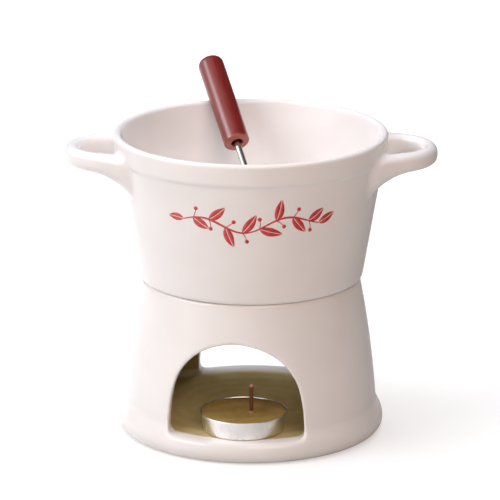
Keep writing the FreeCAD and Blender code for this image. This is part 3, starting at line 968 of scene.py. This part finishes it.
def leaf(bm, base, direction, length, width):
    """Two brush strokes side by side that leave a fine light rib between them."""
    along = Vector((math.cos(direction), math.sin(direction)))
    across = Vector((-along.y, along.x))
    shares = np.linspace(0, 1, 22)
    for side in (-1, 1):
        points, widths = [], []
        for share in shares:
            belly = math.sin(math.pi * share ** 0.85) ** 0.9
            half = width / 2 * belly + 0.03
            bend = 0.12 * length * share * share
            aside = across * (bend + side * (half / 2 + HALF_RIB))
            points.append(tuple(base + along * (length * share) + aside))
            widths.append(half)
        stroke(bm, points, widths)


def berry(bm, centre, radius):
    """A small round dot."""
    rim = [bm.verts.new(on_wall(centre.x + radius * math.cos(turn), centre.y + radius * math.sin(turn)))
           for turn in np.linspace(0, 2 * math.pi, 20, endpoint=False)]
    middle = bm.verts.new(on_wall(*centre))
    for number, vertex in enumerate(rim):
        bm.faces.new((middle, vertex, rim[(number + 1) % len(rim)]))


stem_length = sum((stem_at((step + 1) / 100) - stem_at(step / 100)).length for step in range(100))
print("the stem is", round(stem_length, 1), "mm long")

# %% [markdown]
# ## Growing the sprig
# A painter sets the stem in one stroke and adds leaves and berries from left to right. The loop
# does the same: the stem's heading at each share turns the leaf to one side and the stalk with
# its berry to the other, and a last leaf closes either end.

# %% Drawing the sprig
LEAVES = 8
LEAF_ANGLE = 0.85
LEAF_WIDTH = 3.7
STALK_ANGLE = 1.1
STALK_LENGTH = 4.4
STALK_STEPS = 36
BERRY_RADIUS = 0.9


def red_sprig():
    """The stem, a leaf and a berry at each of its shares, and a leaf at either end."""
    bm = bmesh.new()
    shares = np.linspace(0, 1, 150)
    widths = [0.45 + 0.85 * math.sin(math.pi * share) * (0.6 + 0.4 * math.sin(9 * share))
              for share in shares]
    stroke(bm, [tuple(stem_at(share)) for share in shares], widths)
    for number, share in enumerate(np.linspace(0.08, 0.92, LEAVES)):
        base = stem_at(share)
        ahead = stem_at(min(share + 0.01, 1)) - stem_at(share)
        heading = math.atan2(ahead.y, ahead.x)
        side = 1 if number % 2 else -1
        leaf(bm, base, heading + side * LEAF_ANGLE, 10.4 - 4.4 * abs(share - 0.5), LEAF_WIDTH)
        away = heading - side * STALK_ANGLE
        stalk = base + Vector((math.cos(away), math.sin(away))) * STALK_LENGTH
        bends = (tuple(base.lerp(stalk, 0.4) + Vector((0.5, 0))),
                 tuple(base.lerp(stalk, 0.8) + Vector((0.3, 0))))
        stroke(bm, curve_points((tuple(base), tuple(stalk)), bends, STALK_STEPS),
               np.linspace(0.45, 0.25, STALK_STEPS))
        berry(bm, stalk, BERRY_RADIUS)
    leaf(bm, stem_at(1.0), 0.35, 8.6, 3.4)
    leaf(bm, stem_at(0.0), math.pi - 0.2, 7.4, 3.1)
    bmesh.ops.recalc_face_normals(bm, faces=bm.faces)
    mesh = bpy.data.meshes.new("pot_red_sprig")
    bm.to_mesh(mesh)
    bm.free()
    return link("pot_red_sprig", mesh)


sprig = red_sprig()
print("sprig drawn with", len(sprig.data.polygons), "faces")

# %% [markdown]
# ## Laying the print on
# A transfer is floated onto the wall and fired in, a few hundredths of a millimetre thick. If the
# ribbons lay exactly in the wall, both surfaces would flicker through each other. A Shrinkwrap
# modifier lays them just above it, and Solidify gives them their small thickness.

# %% Print on the pot
PRINT_LIFT = 0.05

wrap = sprig.modifiers.new("laid_on", "SHRINKWRAP")
wrap.target = pot
wrap.wrap_method = "NEAREST_SURFACEPOINT"
wrap.wrap_mode = "ABOVE_SURFACE"
wrap.offset = PRINT_LIFT * MM
ink = sprig.modifiers.new("ink", "SOLIDIFY")
ink.thickness = 2 * PRINT_LIFT * MM
ink.offset = -1
settle(sprig)
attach(sprig, "pot")
print("sprig", len(sprig.data.vertices), "points")

# %% [markdown]
# ## Glazed stoneware
# The pot and the stand are pale stoneware under a clear, slightly warm glaze, fired until it
# flows. It gives clean reflections, a skin that waves a little like still water, and a warmer
# tone where it runs thin over an edge. A clear coat over a dull base would be the textbook way.
# One smooth layer with the wave in a Bump node is enough here, since the clay is as pale.

# %% Glaze
PALE_GLAZE = "#F1EDEB"
MID_GLAZE = "#EDE9E6"
THIN_GLAZE = "#E3D8D0"


def glaze(name):
    """Fired glaze over pale clay: two close tones, a warmer tone on edges and a gentle wave."""
    material, tree, shader = new_material(name)
    place = add_node(tree, "TexCoord").outputs["Object"]
    cloud = add_node(tree, "TexNoise", {"Vector": place, "Scale": per_mm(28), "Detail": 3.0})
    tone = add_node(tree, "ValToRGB", {"Fac": cloud}, [(0.35, MID_GLAZE), (0.65, PALE_GLAZE)])
    sharp = add_node(tree, "NewGeometry").outputs["Pointiness"]
    thin = add_node(tree, "MapRange", {"Value": sharp, "From Min": 0.515, "From Max": 0.56,
                                       "To Min": 0.0, "To Max": 0.35})
    colour = add_node(tree, "Mix", {"Factor": thin, "A": tone, "B": linear(THIN_GLAZE)},
                      data_type="RGBA")
    wave = add_node(tree, "TexNoise", {"Vector": place, "Scale": per_mm(9), "Detail": 2.0})
    skin = add_node(tree, "Bump", {"Height": wave, "Strength": 0.12, "Distance": 0.12 * MM})
    # Pinholes in a glaze are finer than this; just under a millimetre is the least that shows.
    speck = add_node(tree, "TexNoise", {"Vector": place, "Scale": per_mm(0.9), "Detail": 2.0})
    polish = add_node(tree, "MapRange", {"Value": speck, "From Min": 0.3, "From Max": 0.7,
                                         "To Min": 0.06, "To Max": 0.12})
    set_inputs(tree, shader, {"Base Color": colour, "Roughness": polish, "IOR": 1.5, "Normal": skin})
    return material, tree, shader, colour


dress(pot, glaze("glazed stoneware, ivory")[0])

# %% [markdown]
# ## Painted shade inside the stand
# The inside of the stand is painted an olive tan, a painted shade that stands in for the dark and
# the warm reflections inside it. Two materials on two sets of faces would meet in a hard, jagged line,
# so the mesh stores how deep in the painted shade each point lies, and one shader fades along that.

# %% Where the painted shade lies
def inner_radius(height):
    """Radius of the stand's inner wall at a height, in millimetres."""
    share = (height - FLOOR) / (STAND_TOP - FLOOR)
    return INNER_LOW_RADIUS + (INNER_TOP_RADIUS - INNER_LOW_RADIUS) * share


across, back, up = points_of(stand).T
depth = inner_radius(up) + 1.6 - np.hypot(across, back)
# Painted shade comes in within 1.2 mm, and 5.5 mm more slowly over the back sill, as painted backlight.
fade = 1.2 + 5.5 * np.clip((back - 30) / 12, 0, 1) * np.clip(2 - (up - FLOOR) / 1.5, 0, 1)
inner_shade_share = np.clip(depth / fade, 0, 1) * (up > FLOOR - 1.5) * (up < STAND_TOP - 1.5)
stored = stand.data.attributes.new("painted_inner_shade", "FLOAT", "POINT")
stored.data.foreach_set("value", inner_shade_share.astype(np.float32))
print("painted inner shade on", round(100 * float(inner_shade_share.mean())), "percent of the stand's points")

# %% [markdown]
# ## Rings and clouds in the painted shade
# Faint wide rings lie on the floor, and the painted shade over them varies in clouds. A noise
# alone would miss the rings, and rings alone look machined. So a distorted wave round the upright
# axis is added weakly to the cloud noise before the colours.

# %% Glaze and painted shade inside
RING_PITCH = 7.0
WAVE_PERIOD = 0.314
RING_STRENGTH = 0.12

stand_material, tree, shader, glaze_colour = glaze("glazed stoneware, cream, painted shade inside")
place = add_node(tree, "TexCoord").outputs["Object"]
shade_clouds = add_node(tree, "TexNoise", {"Vector": place, "Scale": per_mm(16), "Detail": 5.0, "Roughness": 0.6})
# At scale 1 a wave texture repeats every 0.314 units, a twentieth of a full turn in radians.
rings = add_node(tree, "TexWave", {"Vector": place, "Scale": WAVE_PERIOD / (RING_PITCH * MM),
                                   "Distortion": 3.0, "Detail": 3.0},
                 wave_type="RINGS", rings_direction="Z")
shade_pattern = add_node(tree, "Math", {0: rings.outputs["Fac"], 1: RING_STRENGTH, 2: shade_clouds},
                 operation="MULTIPLY_ADD")
# The olive tan stops are painted shade and warm reflection for the inside of the stand.
painted_shade_colour = add_node(tree, "ValToRGB", {"Fac": shade_pattern}, [(0.36, "#AE9C6A"), (0.76, "#C4B282")])
inside = add_node(tree, "Attribute", attribute_name="painted_inner_shade").outputs["Fac"]
both = add_node(tree, "Mix", {"Factor": inside, "A": glaze_colour, "B": painted_shade_colour},
                data_type="RGBA")
dullness = add_node(tree, "MapRange", {"Value": inside, "To Min": 0.09, "To Max": 0.9})
set_inputs(tree, shader, {"Base Color": both, "Roughness": dullness})
dress(stand, stand_material)

# %% [markdown]
# ## Red print
# Ceramic red is an iron or cadmium stain. The print could be a decal with one flat colour, but
# brush strokes are never equally dense. It is fired in, so it shines nearly like the glaze.

# %% Red print
print_material, tree, shader = new_material("red ceramic transfer")
place = add_node(tree, "TexCoord").outputs["Object"]
density = add_node(tree, "TexNoise", {"Vector": place, "Scale": per_mm(2.2), "Detail": 3.0})
red = add_node(tree, "ValToRGB", {"Fac": density}, [(0.3, "#B3262A"), (0.7, "#D8443C")])
polish = add_node(tree, "MapRange", {"Value": density, "To Min": 0.12, "To Max": 0.2})
set_inputs(tree, shader, {"Base Color": red, "Roughness": polish, "IOR": 1.5})
dress(sprig, print_material)

# %% [markdown]
# ## Aluminium foil, tinned steel and polished steel
# Bare metal has no colour of its own but that of its reflection. Foil is bright and a little hazy,
# with rolling lines; tin plate is duller; the fork's steel is polished along its length. An
# anisotropic shader could stretch the highlights only. Noise drawn out along one axis gives fine
# lines in colour, roughness and relief as well.

# %% Metals
def place_on(tree, stored):
    """Where a point lies: on the object, or in the coordinates that its mesh has stored."""
    if stored:
        return add_node(tree, "Attribute", attribute_name=stored).outputs["Vector"]
    return add_node(tree, "TexCoord").outputs["Object"]


def metal(name, pale, dark, stretch, line_size, haze, relief, stored=""):
    """Bare metal with fine lines: a stretch below 1 draws the pattern out along that axis."""
    material, tree, shader = new_material(name)
    place = place_on(tree, stored)
    drawn = add_node(tree, "Mapping", {"Vector": place, "Scale": stretch})
    lines = add_node(tree, "TexNoise", {"Vector": drawn, "Scale": per_mm(line_size), "Detail": 3.0})
    height = add_node(tree, "Bump", {"Height": lines, "Strength": 0.2, "Distance": relief * MM})
    tone = add_node(tree, "ValToRGB", {"Fac": lines}, [(0.3, dark), (0.7, pale)])
    polish = add_node(tree, "MapRange", {"Value": lines, "From Min": 0.3, "From Max": 0.7,
                                         "To Min": haze[0], "To Max": haze[1]})
    set_inputs(tree, shader, {"Base Color": tone, "Metallic": 1.0, "Roughness": polish,
                              "Normal": height})
    return material


# Real drawn lines lie a few hundredths of a millimetre apart; these are coarser, so that they show.
foil_material = metal("pressed aluminium foil", "#F0EFEE", "#E8E7E6", (1, 1, 0.3), 2.4,
                      (0.26, 0.36), 0.012)
tin_material = metal("tinned steel", "#BDBBB6", "#A9A7A2", (1, 1, 1), 1.2, (0.3, 0.45), 0.01)
steel_material = metal("polished stainless steel", "#D5D5D3", "#C9C9C7", (1, 1, 0.03), 0.35,
                       (0.12, 0.2), 0.004, "place_on_fork")
dress(cup, foil_material)
dress(rod, steel_material)
dress(frame["nodes"]["wick_sustainer"], tin_material)

# %% [markdown]
# ## Paraffin wax
# Cold paraffin is a dull solid that lets a little light in, here a honey tan painted darker as
# painted shade for the dim inside of the stand. Subsurface scattering would be the exact way, but it
# renders slowly and the dark tone hides most of it. A cloudy colour with a fine grain gives the
# same soft, even tone.

# %% Wax
wax_material, tree, shader = new_material("honey paraffin wax")
place = add_node(tree, "TexCoord").outputs["Object"]
bloom = add_node(tree, "TexNoise", {"Vector": place, "Scale": per_mm(7), "Detail": 4.0})
grain = add_node(tree, "TexNoise", {"Vector": place, "Scale": per_mm(0.8), "Detail": 2.0})
skin = add_node(tree, "Bump", {"Height": grain, "Strength": 0.15, "Distance": 0.05 * MM})
# These tones are darker than the wax itself: part its honey tan, part painted shade.
honey = add_node(tree, "ValToRGB", {"Fac": bloom}, [(0.3, "#8E7236"), (0.7, "#A68A4C")])
dullness = add_node(tree, "MapRange", {"Value": bloom, "To Min": 0.5, "To Max": 0.6})
set_inputs(tree, shader, {"Base Color": honey, "Roughness": dullness, "IOR": 1.43, "Normal": skin})
dress(wax, wax_material)

# %% [markdown]
# ## Waxed cotton
# The wick was dipped in darker wax, and its tip carries a pale pink painted highlight. The strands
# are already real, so the finish only adds the fibres: a fine noise for tone and relief, and a blend
# up the last millimetre to the painted highlight at the tip.

# %% Wick cotton
wick_material, tree, shader = new_material("waxed cotton braid")
place = add_node(tree, "TexCoord").outputs["Object"]
height = add_node(tree, "SeparateXYZ", {"Vector": place}).outputs["Z"]
# Cotton fibres are far finer; at about a third of a millimetre they still show.
fibre = add_node(tree, "TexNoise", {"Vector": place, "Scale": per_mm(0.35), "Detail": 3.0})
cord = add_node(tree, "ValToRGB", {"Fac": fibre}, [(0.3, "#52280F"), (0.7, "#74401F")])
# The tip blends into a pale pink painted highlight over the last millimetre.
tip = add_node(tree, "MapRange", {"Value": height, "From Min": (WICK_TOP - 1.6) * MM,
                                  "From Max": (WICK_TOP - 0.6) * MM})
ends = add_node(tree, "Mix", {"Factor": tip, "A": cord, "B": linear("#C79A86")}, data_type="RGBA")
twist = add_node(tree, "Bump", {"Height": fibre, "Strength": 0.4, "Distance": 0.1 * MM})
dullness = add_node(tree, "MapRange", {"Value": fibre, "To Min": 0.5, "To Max": 0.7})
set_inputs(tree, shader, {"Base Color": ends, "Roughness": dullness, "Normal": twist})
dress(wick, wick_material)

# %% [markdown]
# ## Lacquered wood
# The grip is beech, turned, stained red brown and dipped in satin lacquer. The lacquer carries a
# long soft highlight. A coat layer would be one way, but it greys so dark a stain from every
# side, so the shader's own reflection is raised instead. Long faint fibres run along the grip,
# and its mouth end turns a lighter orange brown over its last millimetre and a half.

# %% Lacquered grip
wood_material, tree, shader = new_material("lacquered beech")
place = place_on(tree, "place_on_fork")
drawn = add_node(tree, "Mapping", {"Vector": place, "Scale": (1, 1, 0.07)})
# Beech fibres are about a tenth of a millimetre wide, and are drawn coarser, so that they show.
fibres = add_node(tree, "TexNoise", {"Vector": drawn, "Scale": per_mm(0.9), "Detail": 5.0})
stain = add_node(tree, "ValToRGB", {"Fac": fibres}, [(0.3, "#640D06"), (0.7, "#78160C")])
height = add_node(tree, "SeparateXYZ", {"Vector": place}).outputs["Z"]
# The last 1.6 mm at the mouth end blend to a lighter orange brown.
cut_end = add_node(tree, "MapRange", {"Value": height, "From Min": 0.2 * MM, "From Max": 1.6 * MM,
                                      "To Min": 1.0, "To Max": 0.0})
lighter_end = add_node(tree, "Mix", {"Factor": cut_end, "A": stain, "B": linear("#963C24")},
                data_type="RGBA")
pores = add_node(tree, "Bump", {"Height": fibres, "Strength": 0.1, "Distance": 0.03 * MM})
satin = add_node(tree, "MapRange", {"Value": fibres, "To Min": 0.27, "To Max": 0.33})
set_inputs(tree, shader, {"Base Color": lighter_end, "Roughness": satin, "IOR": 1.5,
                          "Specular IOR Level": 1.0, "Normal": pores})
dress(grip, wood_material)

# %% [markdown]
# ## The table
# The set stands on a white table that runs out of sight. More light would make it white, but would
# burn out the glaze too. So the table glows by itself for the camera, weakly near the set where
# the foot's soft shadow falls, and more with distance. In reflections it is a painted reflection:
# it glows bright on the window's side and its colour turns dark on the other, which draws the round
# forms' dark right edges in the glaze and the metal.

# %% Table
TABLE_SIZE = 8

bpy.ops.mesh.primitive_grid_add(x_subdivisions=8, y_subdivisions=8, size=TABLE_SIZE)
table = bpy.context.object
table.name = "table"
table_material, tree, shader = new_material("white laminate")
place = add_node(tree, "TexCoord").outputs["Object"]
mottle = add_node(tree, "TexNoise", {"Vector": place, "Scale": per_mm(40), "Detail": 2.0})
seen = add_node(tree, "LightPath")
reach = add_node(tree, "VectorMath", {0: place}, operation="LENGTH").outputs["Value"]
lit = add_node(tree, "MapRange", {"Value": reach, "From Min": 0.4, "From Max": 2.0,
                                  "To Min": 0.45, "To Max": 1.0})
glow = add_node(tree, "Math", {0: lit, 1: seen.outputs["Is Camera Ray"]}, operation="MULTIPLY")
across = add_node(tree, "SeparateXYZ", {"Vector": place}).outputs["X"]
# Painted reflection: the table glows for reflected rays towards the window's side.
painted_window_glow = add_node(tree, "MapRange", {"Value": across, "From Min": -0.16, "From Max": 0.04,
                                    "To Min": 0.8, "To Max": 0.1})
mirrored = add_node(tree, "Math", {0: painted_window_glow, 1: seen.outputs["Is Glossy Ray"]}, operation="MULTIPLY")
direct = add_node(tree, "Math", {0: glow, 1: mirrored}, operation="MAXIMUM")
tone = add_node(tree, "ValToRGB", {"Fac": mottle}, [(0.3, "#CAC9C8"), (0.7, "#CECDCC")])
# Painted dark reflection: seen in reflections, the table turns dark on the far side.
far_side = add_node(tree, "MapRange", {"Value": across, "From Min": -0.05, "From Max": 0.15})
shade = add_node(tree, "Math", {0: far_side, 1: seen.outputs["Is Glossy Ray"]}, operation="MULTIPLY")
top = add_node(tree, "Mix", {"Factor": shade, "A": tone, "B": linear("#6A6560")}, data_type="RGBA")
set_inputs(tree, shader, {"Base Color": top, "Roughness": 0.7,
                          "Emission Color": linear("#FFFFFF"), "Emission Strength": direct})
table.data.materials.append(table_material)
print("table", TABLE_SIZE, "m wide")

# %% [markdown]
# ## The room
# The camera sees a plain white room. For the light, an evenly white world would flatten the
# forms, and a picture of a studio would be one more file. So reflections find white only towards
# the window, fading out around it, and diffuse light gets a fifth of that in a warm tone.

# %% Room
world = bpy.data.worlds.new("white_room")
world.use_nodes = True
bpy.context.scene.world = world
tree = world.node_tree
tree.nodes.clear()
path = add_node(tree, "LightPath")
bearing = add_node(tree, "TexCoord").outputs["Generated"]
window_side = Vector((-0.9, -0.35, 0.15)).normalized()
facing = add_node(tree, "VectorMath", {0: bearing, 1: window_side}, operation="DOT_PRODUCT")
fading = add_node(tree, "MapRange", {"Value": facing, "From Min": 0.0, "From Max": 0.75,
                                     "To Min": 0.1, "To Max": 1.0})
softened = add_node(tree, "MapRange", {"Value": path.outputs["Is Diffuse Ray"],
                                       "To Min": 1.0, "To Max": 0.2})
around = add_node(tree, "Math", {0: fading, 1: softened}, operation="MULTIPLY")
strength = add_node(tree, "Math", {0: around, 1: path.outputs["Is Camera Ray"]}, operation="MAXIMUM")
tint = add_node(tree, "Mix", {"Factor": path.outputs["Is Diffuse Ray"], "A": linear("#FFFFFF"),
                              "B": linear("#FFD9BC")}, data_type="RGBA")
room = add_node(tree, "Background", {"Color": tint, "Strength": strength})
add_node(tree, "OutputWorld", {"Surface": room})
print("world", world.name, "is brightest towards", [round(value, 2) for value in window_side])

# %% [markdown]
# ## Softboxes
# Glaze shows every lamp as a shape, so a studio lights it with few large softboxes. Sun or point
# lamps would leave small hard spots. The main light comes from high on the left, and draws the
# long highlight on the grip; the window next to it fills the lower left. A warm box in front and
# a cool one overhead model the shaded side and the rim. Two low ones behind shine through the back
# arch onto the tealight. The overhead and the back ones only light: reflections don't show them.

# %% Lamps
LAMP_AIM = (0, 0, 0.08)


def soft_lamp(name, place, size, power, colour):
    """A rectangular softbox at a place, in metres, that faces the set."""
    data = bpy.data.lights.new(name, "AREA")
    data.shape = "RECTANGLE"
    data.size, data.size_y = size
    data.energy = power
    data.color = linear(colour)[:3]
    lamp = bpy.data.objects.new(name, data)
    lamp.location = place
    lamp.rotation_euler = (Vector(LAMP_AIM) - Vector(place)).to_track_quat("-Z", "Y").to_euler()
    bpy.context.scene.collection.objects.link(lamp)
    print(name, power, "W at", place)
    return lamp


overhead = soft_lamp("overhead_softbox", (-0.08, 0.05, 1.0), (0.8, 0.8), 8.2, "#E8F0FF")
soft_lamp("left_window", (-1.0, -0.45, 0.45), (0.7, 0.9), 0.7, "#F8FAFF")
soft_lamp("high_left_softbox", (-0.9, -0.28, 0.76), (1.1, 0.5), 7.4, "#F8FBFF")
soft_lamp("front_softbox", (0.28, -0.95, 0.75), (0.8, 0.6), 5.1, "#FFE3D0")
back_right = soft_lamp("low_back_right", (0.34, 1.12, 0.3), (0.5, 0.3), 6.0, "#FFFAF0")
back_left = soft_lamp("low_back_left", (-0.5, 1.05, 0.25), (0.5, 0.3), 1.4, "#FFFAF0")
for unseen in (overhead, back_right, back_left):
    unseen.visible_glossy = False

bpy.context.scene.view_settings.view_transform = "Standard"
